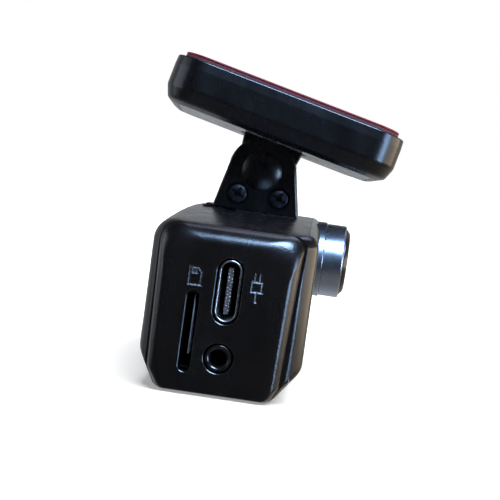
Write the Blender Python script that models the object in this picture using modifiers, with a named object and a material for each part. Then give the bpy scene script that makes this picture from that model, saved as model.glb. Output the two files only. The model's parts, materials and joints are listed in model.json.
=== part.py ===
"""A dash camera on a clamped ball mount with an adhesive pad.

The housing lies along X, the lens looks along -Y and +Z is up. The origin is the middle of
the housing's flat underside. Lengths are written in millimetres and scaled by MM.
"""

import math

import bmesh
import bpy
from mathutils import Euler, Matrix, Vector

MM = 0.001
GAP = 0.2  # between pieces that touch

# Housing, in the Y-Z plane: corners as (y, z, radius), round the section from the underside's back
HALF_LENGTH = 39.0
HOUSING_END = 36.7
END_ROUND = 2.8
SECTION = [
    (8.6, 0, 2.0), (-8.4, 0, 2.0), (-12.1, 5.0, 3.0),
    (-12.1, 24.3, 1.8), (11.7, 24.3, 3.2), (11.6, 5.2, 3.0),
]
SHELL_END = [
    (8.4, 0, 1.8), (-8.1, 0, 1.8), (-9.7, 2.8, 1.8),
    (-10.6, 24.2, 1.8), (10.6, 24.2, 3.0), (10.3, 3.4, 2.2),
]
CAP_RIM = [
    (8.3, 0.1, 1.5), (-8.0, 0.1, 1.5), (-9.3, 2.4, 1.5),
    (-10.2, 24.0, 1.8), (10.3, 24.0, 3.0), (9.9, 3.2, 2.0),
]
CAP_FACE = [
    (7.2, 0.5, 1.0), (-7.3, 0.5, 1.0), (-7.7, 2.0, 1.0),
    (-8.6, 22.2, 4.8), (8.9, 22.2, 4.0), (8.7, 2.6, 1.2),
]
CAVITY = [
    (7.0, 1.6, 1.2), (-7.2, 1.6, 1.2), (-8.6, 3.6, 1.2),
    (-8.6, 22.4, 1.2), (8.6, 22.4, 1.2), (8.6, 3.6, 1.2),
]
CROWN = 1.1  # rise of the top from its ends to its middle
CROWN_FROM = 18.0  # height above which a point takes part in the crown
PANEL_BACK = -10.5  # plane where the front panel meets the shell
CAP_THICKNESS = 2.1
LIP_LENGTH = 1.8
LIP_WALL = 1.2
CAP_WALL = 1.5

# Ports in the end cap at -X, as centre (y, z)
USB_AT = (-0.3, 15.3)
USB_WIDTH, USB_HEIGHT, USB_WALL = 8.94, 3.26, 0.3
CARD_AT = (4.5, 9.0)
CARD_SLOT = (11.6, 1.7)
JACK_AT = (-0.2, 5.7)
JACK_RADIUS, JACK_BORE = 1.9, 1.3
PORT_CLEARANCE = 0.25

# Lens
LENS_Z = 19.2
BARREL_RADIUS = 6.0
BARREL_FRONT = 16.4
LENS_HOLE = 3.4
LENS_RADIUS, LENS_BULGE = 2.9, 1.5

# Clamp bracket and ball
BALL_CENTRE = Vector((0.0, -1.2, 32.4))
BALL_RADIUS = 4.1
POCKET_RADIUS = 4.4
DOME_RADIUS = 5.5
CHEEK_OUTER, CHEEK_INNER = 4.4, 2.8
CHEEK_ARC = 5.5
FOOT_Z = 25.55
FOOT_BACK, FOOT_FRONT = 6.2, -8.0
BLOCK_TOP = 29.6
FLANGE_BACK, FLANGE_THICKNESS = 7.8, 0.3
SCREW_AT = [(2.3, 28.2), (-4.55, 28.2)]
FIXING_SCREW_Y = 3.4

# Adhesive plate, in the frame of the stem: origin at the ball's centre, +Z along the stem
STEM_TILT = Euler((math.radians(13.0), 0, 0)).to_matrix()
STEM_ROLL = Euler((0, math.radians(2.5), 0)).to_matrix()
PLATE_SWIVEL = Euler((0, 0, math.radians(2.5))).to_matrix()
TONGUE_HALF = 2.2
PLATE_X, PLATE_Y = 14.0, 19.4  # half sizes
PLATE_CORNER = 5.5
PLATE_BOTTOM, PLATE_TOP = 4.8, 12.6
PLATE_WALL = 2.7
COVER_THICKNESS = 1.6
RECESS_RADIUS, RECESS_TOP = 5.9, 6.0  # room for the cheeks in the cover
PAD_INSET = 1.2
PAD_SUNK = 0.4
PAD_THICKNESS, FILM_THICKNESS = 0.5, 0.35

# Button and light at the back
BUTTON_AT = (22.0, 12.5)
BUTTON_RADIUS = 2.6
LIGHT_AT = (13.0, 12.5)


# ---------------------------------------------------------------- scene, materials and helpers


def clear_scene():
    for obj in list(bpy.data.objects):
        bpy.data.objects.remove(obj, do_unlink=True)


def new_collection(name):
    collection = bpy.data.collections.new(name)
    bpy.context.scene.collection.children.link(collection)
    return collection


def material(name, colour, roughness, metallic=0.0):
    made = bpy.data.materials.new(name)
    made.use_nodes = True
    shader = made.node_tree.nodes["Principled BSDF"]
    shader.inputs["Base Color"].default_value = (*colour, 1.0)
    shader.inputs["Roughness"].default_value = roughness
    shader.inputs["Metallic"].default_value = metallic
    return made


def finish_mesh(name, bm, look, smooth_below=35.0):
    """The bmesh, in millimetres, as an object in metres with its faces pointing out."""
    bmesh.ops.recalc_face_normals(bm, faces=bm.faces)
    bmesh.ops.scale(bm, vec=(MM, MM, MM), verts=bm.verts)
    mesh = bpy.data.meshes.new(name)
    bm.to_mesh(mesh)
    bm.free()
    mesh.shade_smooth()
    mesh.set_sharp_from_angle(angle=math.radians(smooth_below))
    obj = bpy.data.objects.new(name, mesh)
    if look is None:
        cutters.objects.link(obj)
        obj.hide_render = True
        obj.display_type = "WIRE"
    else:
        parts.objects.link(obj)
        mesh.materials.append(look)
    return obj


def rounded(corners, steps=4):
    """Points round a polygon of (a, b, radius) corners, each corner an arc of `steps` parts."""
    points = []
    for i, (a, b, radius) in enumerate(corners):
        here = Vector((a, b))
        back = (Vector(corners[i - 1][:2]) - here).normalized()
        ahead = (Vector(corners[(i + 1) % len(corners)][:2]) - here).normalized()
        half = back.angle(ahead) / 2
        centre = here + (back + ahead).normalized() * radius / math.sin(half)
        start = here + back * radius / math.tan(half) - centre
        end = here + ahead * radius / math.tan(half) - centre
        turn = start.angle_signed(end)
        for step in range(steps + 1):
            points.append(centre + Matrix.Rotation(-turn * step / steps, 2) @ start)
    return points


def ring(outline, x):
    return [Vector((x, a, b)) for a, b in outline]


def blend_rings(first, second, share):
    return [a.lerp(b, share) for a, b in zip(first, second)]


def loft(name, rings, look, closed=False):
    """A skin over like rings: capped at its two ends, or closed on itself."""
    bm = bmesh.new()
    rows = [[bm.verts.new(point) for point in points] for points in rings]
    pairs = list(zip(rows, rows[1:]))
    if closed:
        pairs.append((rows[-1], rows[0]))
    else:
        bm.faces.new(rows[0])
        bm.faces.new(rows[-1])
    for row, following in pairs:
        for i in range(len(row)):
            j = (i + 1) % len(row)
            bm.faces.new((row[i], row[j], following[j], following[i]))
    return finish_mesh(name, bm, look)


def box(name, low, high, look, bevel=0.0):
    low, high = Vector(low), Vector(high)
    bm = bmesh.new()
    bmesh.ops.create_cube(bm, size=1.0)
    bmesh.ops.scale(bm, vec=high - low, verts=bm.verts)
    bmesh.ops.translate(bm, vec=(low + high) / 2, verts=bm.verts)
    obj = finish_mesh(name, bm, look)
    if bevel:
        edges = obj.modifiers.new("rounded_edges", "BEVEL")
        edges.width = bevel * MM
        edges.segments = 1
    return obj


def cylinder(name, radius, start, end, look, sides=24):
    start, end = Vector(start), Vector(end)
    bm = bmesh.new()
    bmesh.ops.create_cone(
        bm, cap_ends=True, segments=sides, radius1=radius, radius2=radius, depth=(end - start).length
    )
    turn = (end - start).to_track_quat("Z", "Y").to_matrix().to_4x4()
    bmesh.ops.transform(bm, matrix=Matrix.Translation((start + end) / 2) @ turn, verts=bm.verts)
    return finish_mesh(name, bm, look)


def sphere(name, radius, centre, look, sides=24):
    bm = bmesh.new()
    bmesh.ops.create_uvsphere(bm, u_segments=sides, v_segments=sides // 2, radius=radius)
    bmesh.ops.translate(bm, vec=centre, verts=bm.verts)
    return finish_mesh(name, bm, look)


def turned(name, profile, origin, axis, look, sides=32):
    """A closed (radius, distance along the axis) profile turned once round the axis with Screw."""
    bm = bmesh.new()
    points = [bm.verts.new((radius * MM, 0, along * MM)) for radius, along in profile]
    for i, point in enumerate(points):
        following = points[(i + 1) % len(points)]
        if point.co.x > 0 or following.co.x > 0:
            bm.edges.new((point, following))
    mesh = bpy.data.meshes.new(name + "_profile")
    bm.to_mesh(mesh)
    bm.free()
    guide = bpy.data.objects.new(name + "_profile", mesh)
    parts.objects.link(guide)
    screw = guide.modifiers.new("turn", "SCREW")
    screw.steps = screw.render_steps = sides
    screw.use_merge_vertices = True
    screw.merge_threshold = 0.00001
    bpy.context.view_layer.update()
    solid = bpy.data.meshes.new_from_object(guide.evaluated_get(bpy.context.evaluated_depsgraph_get()))
    bpy.data.objects.remove(guide, do_unlink=True)
    bm = bmesh.new()
    bm.from_mesh(solid)
    bmesh.ops.remove_doubles(bm, verts=bm.verts, dist=0.00001)
    bmesh.ops.scale(bm, vec=(1 / MM, 1 / MM, 1 / MM), verts=bm.verts)
    turn = Vector(axis).to_track_quat("Z", "Y").to_matrix().to_4x4()
    bmesh.ops.transform(bm, matrix=Matrix.Translation(origin) @ turn, verts=bm.verts)
    return finish_mesh(name, bm, look)


def stadium(centre, length, width, steps=8):
    """A slot's outline in (y, z): `length` along z with round ends."""
    radius, half = width / 2, (length - width) / 2
    points = []
    for end, first in ((1, 0.0), (-1, math.pi)):
        for step in range(steps + 1):
            angle = first + math.pi * step / steps
            points.append(
                (centre[0] + radius * math.cos(angle), centre[1] + end * half + radius * math.sin(angle))
            )
    return points


def boolean(target, tool, operation="DIFFERENCE"):
    made = target.modifiers.new(tool.name, "BOOLEAN")
    made.operation = operation
    made.object = tool
    return target


def apply_modifiers(obj):
    """The object's mesh with its modifiers applied, so that it can be a cutter or be joined."""
    bpy.context.view_layer.update()
    solid = bpy.data.meshes.new_from_object(obj.evaluated_get(bpy.context.evaluated_depsgraph_get()))
    obj.modifiers.clear()
    obj.data = solid
    return obj


# ---------------------------------------------------------------- housing


def crowned(points):
    """The points with the housing's top raised towards the middle of its length."""
    raised = []
    for point in points:
        share = min(max((point.z - CROWN_FROM) / (SECTION[3][1] - CROWN_FROM), 0), 1)
        rise = CROWN * share * share * (1 - (point.x / HOUSING_END) ** 2)
        raised.append(point + Vector((0, 0, rise)))
    return raised


def housing_rings():
    """The housing's outside from its -X end to its +X end, rounded in at both ends."""
    end, full = rounded(SHELL_END), rounded(SECTION)
    near = []
    for angle in (0, 30, 60, 90):
        share = math.sin(math.radians(angle))
        x = -HOUSING_END + END_ROUND * (1 - math.cos(math.radians(angle)))
        near.append(blend_rings(ring(end, x), ring(full, x), share))
    middle = [ring(full, x) for x in (-23.0, -12.0, -4.0, 4.0, 12.0, 23.0)]
    far = [[Vector((-p.x, p.y, p.z)) for p in points] for points in reversed(near)]
    return [crowned(points) for points in near + middle + far]


def make_housing():
    cavity = rounded(CAVITY)
    inner = [ring(cavity, HOUSING_END), ring(cavity, -HOUSING_END)]
    shell = loft("housing_shell", housing_rings() + inner, plastic, closed=True)
    front = PANEL_BACK + GAP
    boolean(shell, box("panel_recess", (-50, -20, -5), (50, front, 35), None))
    boolean(shell, cylinder("lens_hole", LENS_HOLE, (0, -20, LENS_Z), (0, -5, LENS_Z), None))
    boolean(shell, cylinder("fixing_hole", 1.3, (0, FIXING_SCREW_Y, 20), (0, FIXING_SCREW_Y, 28), None, 16))
    button_x, button_z = BUTTON_AT
    hole_ends = [(button_x, y, button_z) for y in (5, 20)]
    boolean(shell, cylinder("button_hole", BUTTON_RADIUS + GAP, *hole_ends, None))
    light_x, light_z = LIGHT_AT
    boolean(shell, cylinder("light_hole", 1.0 + GAP, (light_x, 5, light_z), (light_x, 20, light_z), None, 16))

    panel = loft("front_panel", housing_rings(), gloss)
    boolean(panel, box("panel_room", (-50, -20, -5), (50, PANEL_BACK, 35), None), "INTERSECT")
    boolean(panel, bpy.data.objects["lens_hole"])


def cap_rings(side):
    """The outside of an end cap, its lip, and the pocket behind its face."""
    face, rim, cavity = rounded(CAP_FACE), rounded(CAP_RIM), rounded(CAVITY)
    centre = Vector((0, 12.0))
    lip = [centre + (p - centre) * (1 - GAP / 8) for p in cavity]
    pocket = [centre + (p - centre) * (1 - LIP_WALL / 8) for p in cavity]
    rings = []
    for angle in (0, 22.5, 45, 67.5, 90):
        share = math.sin(math.radians(angle))
        depth = (CAP_THICKNESS - 0.3) * (1 - math.cos(math.radians(angle)))
        x = side * (HALF_LENGTH - depth)
        rings.append(blend_rings(ring(face, x), ring(rim, x), share))
    back = side * (HALF_LENGTH - CAP_THICKNESS)
    rings.append(ring(rim, back))
    rings.append(ring(lip, back))
    rings.append(ring(lip, back - side * LIP_LENGTH))
    rings.append(ring(pocket, back - side * LIP_LENGTH))
    rings.append(ring(pocket, side * (HALF_LENGTH - CAP_WALL)))
    return rings


def make_end_caps():
    cap = loft("port_end_cap", cap_rings(-1), plastic)
    reach = (-HALF_LENGTH - 2, -HALF_LENGTH + 6)
    usb = stadium(USB_AT, USB_WIDTH + 2 * PORT_CLEARANCE, USB_HEIGHT + 2 * PORT_CLEARANCE)
    boolean(cap, loft("usb_hole", [ring(usb, x) for x in reach], None))
    card = stadium(CARD_AT, *CARD_SLOT)
    boolean(cap, loft("card_hole", [ring(card, x) for x in reach], None))
    jack_y, jack_z = JACK_AT
    jack_radius = JACK_RADIUS + PORT_CLEARANCE
    boolean(cap, cylinder("jack_hole", jack_radius, *[(x, jack_y, jack_z) for x in reach], None))

    far = loft("speaker_end_cap", cap_rings(1), plastic)
    for number, z in enumerate((7.0, 9.5, 12.0, 14.5, 17.0)):
        half = math.sqrt(6.6**2 - (z - 12.0) ** 2)
        low, high = (HALF_LENGTH - 4, -half, z - 0.5), (HALF_LENGTH + 2, half, z + 0.5)
        boolean(far, box(f"sound_slit_{number + 1}", low, high, None))


# ---------------------------------------------------------------- ports and electronics


def make_ports():
    front = -HALF_LENGTH + 0.3
    usb_back = front + 7.3
    outside = stadium(USB_AT, USB_WIDTH, USB_HEIGHT)
    inside = stadium(USB_AT, USB_WIDTH - 2 * USB_WALL, USB_HEIGHT - 2 * USB_WALL)
    rings = [ring(inside, usb_back - 0.5), ring(inside, front), ring(outside, front), ring(outside, usb_back)]
    loft("usb_c_shell", rings, steel)
    y, z = USB_AT
    low, high = (front + 0.9, y - 0.35, z - 3.35), (usb_back - 0.5 - GAP, y + 0.35, z + 3.35)
    box("usb_c_tongue", low, high, insulator)

    y, z = CARD_AT
    mouth, back = -HALF_LENGTH + CAP_WALL + GAP, -23.0
    socket = box("card_socket", (mouth, y - 1.1, z - 5.6), (back, y + 1.1, z + 5.6), steel)
    boolean(socket, box("card_room", (mouth - 1, y - 0.6, z - 5.2), (back - 0.6, y + 0.6, z + 5.2), None))

    y, z = JACK_AT
    start = -HALF_LENGTH + 0.2
    outer, bore = JACK_RADIUS, JACK_BORE
    profile = [(bore, 0), (outer, 0), (outer, 4.0), (2.6, 4.0)]
    profile += [(2.6, 12.0), (0, 12.0), (0, 11.0), (bore, 11.0)]
    turned("av_jack", profile, (start, y, z), (1, 0, 0), steel, 20)


def make_electronics():
    box("main_board", (-31.0, 2.6, 2.6), (29.0, 3.3, 20.2), board)
    box("battery", (-18.0, 3.6, 4.2), (8.0, 7.8, 19.6), wrap, 0.6)
    box("heat_spreader", (9.0, 0.8, 5.0), (26.0, 2.3, 19.0), aluminium)
    x, z = BUTTON_AT
    box("tact_switch", (x - 2.2, 3.5, z - 2.2), (x + 2.2, 6.4, z + 2.2), insulator)
    profile = [(0, 0), (6.8, 0), (6.8, 1.6), (5.0, 3.2), (0, 3.2)]
    turned("speaker", profile, (34.4, 0, 12.0), (-1, 0, 0), insulator, 24)


def make_button():
    x, z = BUTTON_AT
    cap = [(0, 6.8), (1.2, 6.8), (1.2, 7.6), (3.2, 7.6), (3.2, 8.3), (2.6, 8.3)]
    cap += [(2.6, 11.9), (2.3, 12.2), (0, 12.2)]
    turned("power_button", cap, (x, 0, z), (0, 1, 0), plastic, 24)
    x, z = LIGHT_AT
    pipe = [(0, 8.0), (1.6, 8.0), (1.6, 8.4), (1.0, 8.4), (1.0, 11.7), (0, 11.7)]
    turned("light_pipe", pipe, (x, 0, z), (0, 1, 0), clear, 16)


# ---------------------------------------------------------------- lens


def make_lens():
    at, forward = (0, 0, LENS_Z), (0, -1, 0)
    face = -SECTION[2][0] + GAP
    flange = BARREL_RADIUS + 0.2
    base = [(LENS_HOLE + 0.4, face), (flange, face), (flange, face + 0.5), (flange - 0.3, face + 0.8)]
    base.append((LENS_HOLE + 0.4, face + 0.8))
    turned("lens_base_ring", base, at, forward, gloss, 40)
    back, front = face + 0.8 + GAP, BARREL_FRONT
    barrel = [(5.0, back), (BARREL_RADIUS, back), (BARREL_RADIUS, front - 0.25)]
    barrel += [(BARREL_RADIUS - 0.25, front), (5.6, front), (5.6, front - 1.3), (5.0, front - 1.3)]
    turned("lens_barrel", barrel, at, forward, silver, 48)
    bezel = [(3.1, front - 1.0), (5.4, front - 1.0), (5.4, front + 0.1), (4.9, front + 0.6)]
    bezel += [(4.0, front + 0.8), (3.1, front + 0.2)]
    turned("lens_bezel", bezel, at, forward, gloss, 40)
    glass_profile = [(0, front - 1.0), (LENS_RADIUS, front - 1.0)]
    for degrees in (90, 68, 45, 22):
        angle = math.radians(degrees)
        glass_profile.append((LENS_RADIUS * math.sin(angle), front - 0.9 + LENS_BULGE * math.cos(angle)))
    glass_profile.append((0, front - 0.9 + LENS_BULGE))
    turned("front_lens", glass_profile, at, forward, glass, 32)
    cell = [(2.2, 4.4), (3.1, 4.4), (3.1, face + 0.6), (4.8, front - 2.4)]
    cell += [(4.8, front - 1.4), (4.1, front - 1.4), (2.2, face)]
    turned("lens_cell", cell, at, forward, plastic, 32)
    turned("rear_lens", [(0, 5.2), (2.0, 5.2), (2.0, 6.0), (1.3, 6.5), (0, 6.8)], at, forward, glass, 24)
    box("image_sensor", (-3.0, -4.1, LENS_Z - 2.6), (3.0, -3.3, LENS_Z + 2.6), insulator)
    box("sensor_board", (-7.5, -3.1, 8.0), (7.5, -2.3, 22.0), board)


# ---------------------------------------------------------------- bracket


def tangent_angle(corner):
    """The direction from the ball's centre to where a line from the corner grazes the cheek's arc."""
    offset = Vector(corner) - Vector((BALL_CENTRE.y, BALL_CENTRE.z))
    lean = math.acos(CHEEK_ARC / offset.length)
    angle = math.atan2(offset.y, offset.x)
    return angle + lean if offset.x > 0 else angle - lean


def cheek_outline(steps=16):
    back, front = (FOOT_BACK, FOOT_Z), (FOOT_FRONT, FOOT_Z)
    start, end = tangent_angle(back), tangent_angle(front) % (2 * math.pi)
    points = [back]
    for step in range(steps + 1):
        angle = start + (end - start) * step / steps
        arc = Vector((math.cos(angle), math.sin(angle))) * CHEEK_ARC
        points.append((BALL_CENTRE.y + arc.x, BALL_CENTRE.z + arc.y))
    points.append(front)
    return points


def cheek(name, inner, outer, look):
    """A cheek plate with the dome that houses one side of the ball."""
    outline = cheek_outline()
    plate = loft(name, [ring(outline, inner), ring(outline, outer)], look)
    dome = sphere(name + "_dome", DOME_RADIUS, BALL_CENTRE, None, 32)
    side = math.copysign(1, outer)
    low, high = sorted((side * (CHEEK_INNER + 0.4), side * 9))
    boolean(dome, box(name + "_dome_room", (low, -12, 20), (high, 12, 45), None), "INTERSECT")
    apply_modifiers(dome)
    boolean(plate, dome, "UNION")
    return plate


def make_bracket():
    clamp = cheek("clamp_plate", -CHEEK_INNER, -CHEEK_OUTER, bracket_plastic)
    block = cheek("socket_block", CHEEK_INNER, CHEEK_OUTER, bracket_plastic)
    low = (-CHEEK_INNER + GAP, FOOT_FRONT + 0.9, FOOT_Z + 0.1)
    high = (CHEEK_INNER + 0.4, FOOT_BACK - 0.8, BLOCK_TOP)
    boolean(block, box("block_base", low, high, None), "UNION")
    flange_low = (-CHEEK_OUTER + GAP, FOOT_BACK + GAP, FOOT_Z - 0.05)
    flange_high = (CHEEK_OUTER - GAP, FLANGE_BACK, FOOT_Z + FLANGE_THICKNESS)
    boolean(block, box("flange", flange_low, flange_high, None), "UNION")
    neck_low = (-CHEEK_INNER + GAP, FOOT_BACK - 2.0, FOOT_Z - 0.02)
    neck_high = (CHEEK_INNER - GAP, FLANGE_BACK - 0.5, FOOT_Z + FLANGE_THICKNESS + 0.1)
    boolean(block, box("flange_neck", neck_low, neck_high, None), "UNION")
    pocket = sphere("ball_pocket", POCKET_RADIUS, BALL_CENTRE, None, 32)
    for piece in (clamp, block):
        boolean(piece, pocket)
    for number, (y, z) in enumerate(SCREW_AT, 1):
        recess = cylinder(f"head_recess_{number}", 1.9, (-6, y, z), (-CHEEK_OUTER + 0.7, y, z), None)
        hole = cylinder(f"screw_hole_{number}", 1.0, (-6, y, z), (CHEEK_INNER, y, z), None, 16)
        boolean(clamp, recess)
        boolean(clamp, hole)
        boolean(block, hole)
        head = [(0, 0.35), (0.3, 0.35), (0.55, 0), (1.4, 0), (1.7, 0.25), (1.7, 0.6), (0.8, 0.6)]
        shank = [(0.8, 6.3), (0.4, 6.8), (0, 6.8)]
        turned(f"clamp_screw_{number}", head + shank, (-CHEEK_OUTER, y, z), (1, 0, 0), screw_steel, 20)
    thread_ends = [(0, FIXING_SCREW_Y, z) for z in (24, 27.6)]
    boolean(block, cylinder("fixing_thread", 1.1, *thread_ends, None, 16))
    fixing = [(0, 20.7), (1.7, 20.7), (1.7, 22.2), (0.9, 22.2), (0.9, 27.3), (0, 27.3)]
    turned("bracket_screw", fixing, (0, FIXING_SCREW_Y, 0), (0, 0, 1), screw_steel, 20)


# ---------------------------------------------------------------- ball, stem and adhesive plate


def joint_empty(name, parent, turn, location=(0, 0, 0)):
    empty = bpy.data.objects.new(name, None)
    parts.objects.link(empty)
    empty.parent = parent
    empty.location = Vector(location) * MM
    empty.rotation_euler = turn.to_euler()
    return empty


def hang(obj, empty):
    obj.parent = empty
    return obj


def plate_ring(inset, z):
    corner = PLATE_CORNER - min(inset, PLATE_CORNER - 1)
    x, y = PLATE_X - inset, PLATE_Y - inset
    corners = [(x, y, corner), (x, -y, corner), (-x, -y, corner), (-x, y, corner)]
    return [Vector((a, b, z)) for a, b in rounded(corners, 6)]


def make_stem(empty):
    """A flared tongue that straddles the ball and carries the plate."""
    half = [(4.6, 1.0), (4.75, 2.4), (5.0, 4.0), (5.3, RECESS_TOP - GAP)]
    outline = half + [(-y, z) for y, z in reversed(half)]
    stem = loft("stem", [ring(outline, -TONGUE_HALF), ring(outline, TONGUE_HALF)], bracket_plastic)
    hollow = sphere("stem_hollow", BALL_RADIUS + GAP, (0, 0, 0), None, 32)
    hang(hollow, empty)
    boolean(stem, hollow)
    hang(stem, empty)


def make_plate(empty):
    """The plate's shell and underside cover, with the pad and its film set into the top."""
    floor = PLATE_BOTTOM + COVER_THICKNESS
    height = PLATE_TOP - PLATE_BOTTOM
    outside = [(2.2, 0.0), (1.0, 0.3), (0.3, 1.1), (0.0, 2.4), (0.0, height - 0.7)]
    outside += [(0.25, height - 0.2), (0.7, height)]
    rings = [plate_ring(PAD_INSET - GAP, PLATE_TOP - PAD_SUNK), plate_ring(PAD_INSET - GAP, PLATE_TOP)]
    rings += [plate_ring(inset, PLATE_BOTTOM + rise) for inset, rise in reversed(outside)]
    rings += [plate_ring(PLATE_WALL, PLATE_BOTTOM), plate_ring(PLATE_WALL, PLATE_TOP - 1.8)]
    hang(loft("plate_shell", rings, satin), empty)
    cover_rings = [plate_ring(PLATE_WALL + GAP, z) for z in (PLATE_BOTTOM, floor - GAP)]
    cover = loft("plate_cover", cover_rings, cover_grey)
    recess = cylinder("cover_recess", RECESS_RADIUS, (0, 0, PLATE_BOTTOM - 1), (0, 0, RECESS_TOP), None, 48)
    hang(recess, empty)
    boolean(cover, recess)
    hang(cover, empty)
    pad_z = PLATE_TOP - PAD_SUNK + GAP / 2
    film_z = pad_z + PAD_THICKNESS + GAP / 4
    pad_rings = [plate_ring(PAD_INSET, pad_z), plate_ring(PAD_INSET, pad_z + PAD_THICKNESS)]
    hang(loft("adhesive_pad", pad_rings, foam), empty)
    film_rings = [plate_ring(PAD_INSET, film_z), plate_ring(PAD_INSET, film_z + FILM_THICKNESS)]
    hang(loft("release_film", film_rings, film), empty)


def make_mount():
    tilt = joint_empty("tilt_axis", None, STEM_TILT, BALL_CENTRE)
    roll = joint_empty("roll_axis", tilt, STEM_ROLL)
    swivel = joint_empty("swivel_axis", roll, PLATE_SWIVEL)
    hang(sphere("ball", BALL_RADIUS, (0, 0, 0), bracket_plastic), tilt)
    make_stem(roll)
    make_plate(swivel)


clear_scene()
parts = new_collection("dash_camera")
cutters = new_collection("cutters")
plastic = material("housing_plastic", (0.012, 0.013, 0.018), 0.42)
gloss = material("gloss_plastic", (0.010, 0.010, 0.012), 0.12)
satin = material("plate_plastic", (0.014, 0.015, 0.020), 0.45)
bracket_plastic = material("bracket_plastic", (0.008, 0.009, 0.011), 0.38)
cover_grey = material("cover_plastic", (0.05, 0.05, 0.055), 0.30)
silver = material("barrel_metal", (0.42, 0.46, 0.54), 0.26, 1.0)
steel = material("port_steel", (0.60, 0.60, 0.58), 0.30, 1.0)
screw_steel = material("screw_steel", (0.03, 0.03, 0.035), 0.40, 1.0)
aluminium = material("heat_aluminium", (0.70, 0.71, 0.73), 0.40, 1.0)
board = material("board_laminate", (0.01, 0.12, 0.05), 0.50)
wrap = material("battery_wrap", (0.10, 0.12, 0.30), 0.45)
insulator = material("insulator", (0.02, 0.02, 0.02), 0.60)
glass = material("lens_glass", (0.03, 0.04, 0.06), 0.03)
clear = material("light_pipe", (0.80, 0.82, 0.85), 0.15)
foam = material("adhesive_foam", (0.16, 0.02, 0.03), 0.80)
film = material("release_film", (0.42, 0.03, 0.05), 0.35)

make_housing()
make_end_caps()
make_ports()
make_electronics()
make_button()
make_lens()
make_bracket()
make_mount()
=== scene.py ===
import json
import math

import bmesh
import bpy
from mathutils import Euler, Matrix, Vector


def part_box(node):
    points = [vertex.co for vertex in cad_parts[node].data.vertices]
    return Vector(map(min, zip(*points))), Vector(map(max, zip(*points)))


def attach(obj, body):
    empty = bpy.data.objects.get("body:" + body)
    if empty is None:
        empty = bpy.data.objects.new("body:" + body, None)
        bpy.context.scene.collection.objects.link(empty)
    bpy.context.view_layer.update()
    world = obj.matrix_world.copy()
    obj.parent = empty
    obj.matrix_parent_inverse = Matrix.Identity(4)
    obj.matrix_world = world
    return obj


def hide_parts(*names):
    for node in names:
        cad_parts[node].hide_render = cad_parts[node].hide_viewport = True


# The looks of the dash camera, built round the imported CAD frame. Lengths are in millimetres and are
# scaled to the frame's metres by MM. +Z is up, the lens looks along -Y and the ports are at -X.

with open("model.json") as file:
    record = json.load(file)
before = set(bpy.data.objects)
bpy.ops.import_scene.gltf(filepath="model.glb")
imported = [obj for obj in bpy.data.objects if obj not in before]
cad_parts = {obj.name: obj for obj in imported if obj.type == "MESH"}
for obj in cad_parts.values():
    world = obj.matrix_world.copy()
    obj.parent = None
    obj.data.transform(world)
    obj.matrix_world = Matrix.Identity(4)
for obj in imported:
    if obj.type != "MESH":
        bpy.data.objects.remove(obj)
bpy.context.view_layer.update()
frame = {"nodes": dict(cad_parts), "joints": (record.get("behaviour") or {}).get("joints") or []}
joints = {joint["name"]: joint for joint in frame["joints"]}

MM = 0.001


def low(node):
    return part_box(node)[0] / MM


def high(node):
    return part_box(node)[1] / MM


def middle(node):
    return (low(node) + high(node)) / 2


# ---------------------------------------------------------------- sizes

GAP = 0.2  # between pieces that touch
SEAM = 0.04  # between two covers
CRISP = 14.0  # degrees between faces, above which an edge is shaded sharp on flat pieces
HALF_LENGTH = high("speaker_end_cap").x
HOUSING_END = high("housing_shell").x
TOP = high("port_end_cap").z + 0.3

# The housing's section, as corners (y, z, radius) round from the back of the underside
SECTION = [
    (8.6, 0, 2.0), (-8.4, 0, 2.0), (-12.1, 5.0, 3.0),
    (-12.1, TOP, 1.7), (11.7, TOP, 3.2), (11.6, 5.2, 3.0),
]
SHELL_END = [
    (8.4, 0, 1.8), (-8.1, 0, 1.8), (-9.7, 2.8, 1.8),
    (-10.6, TOP - 0.12, 1.7), (10.6, TOP - 0.12, 3.0), (10.3, 3.4, 2.2),
]
CAP_RIM = [
    (8.3, 0.1, 1.5), (-8.0, 0.1, 1.5), (-9.3, 2.4, 1.5),
    (-10.3, TOP - 0.14, 2.2), (10.5, TOP - 0.14, 3.0), (10.0, 3.2, 2.0),
]
CAP_FACE = [
    (7.2, 0.5, 1.0), (-7.3, 0.5, 1.0), (-7.7, 2.0, 1.0),
    (-8.0, 21.6, 6.0), (8.9, 21.6, 5.6), (8.7, 2.6, 1.2),
]
CAVITY = [
    (7.0, 1.6, 1.2), (-7.2, 1.6, 1.2), (-8.6, 3.6, 1.2),
    (-8.6, 22.4, 1.2), (8.6, 22.4, 1.2), (8.6, 3.6, 1.2),
]
END_ROUND = 2.8  # the stretch over which the shell's ends curve in
CROWN, CROWN_FROM = 1.1, 18.0  # the top's rise at mid-length, and the height from which the sides share it
PANEL_BACK = high("front_panel").y
LENS_HOLE, LENS_SEAT = 3.4, 11.5  # radius through the front, and the distance of the ring's seat from y = 0
CAP_THICKNESS, CAP_ROUND, CAP_WALL = 2.27, 3.2, 1.5
CAP_MIDDLE = 12.0
CAP_LIP, CAP_POCKET = 0.975, 0.85  # as shares of the cavity's outline
CAP_LIP_LENGTH = 1.8
SLITS, SLIT_PITCH, SLIT_WIDTH, SLIT_REACH = 5, 2.5, 1.0, 6.6
GLYPH_Z, GLYPH_LINE, GLYPH_DEPTH = 16.9, 0.40, 0.11

USB_WIDTH, USB_HEIGHT, USB_WALL = 8.94, 3.26, 0.3
CARD_SLOT = (11.6, 1.7)
JACK_RADIUS, JACK_BORE = 1.9, 1.15
PORT_CLEARANCE = 0.25
BUTTON_RADIUS, PIPE_RADIUS = 2.6, 1.0
MOUNT_HOLE, MOUNT_THREAD = 1.3, 1.1  # radii for the bracket's screw, in the housing and in the block

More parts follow.
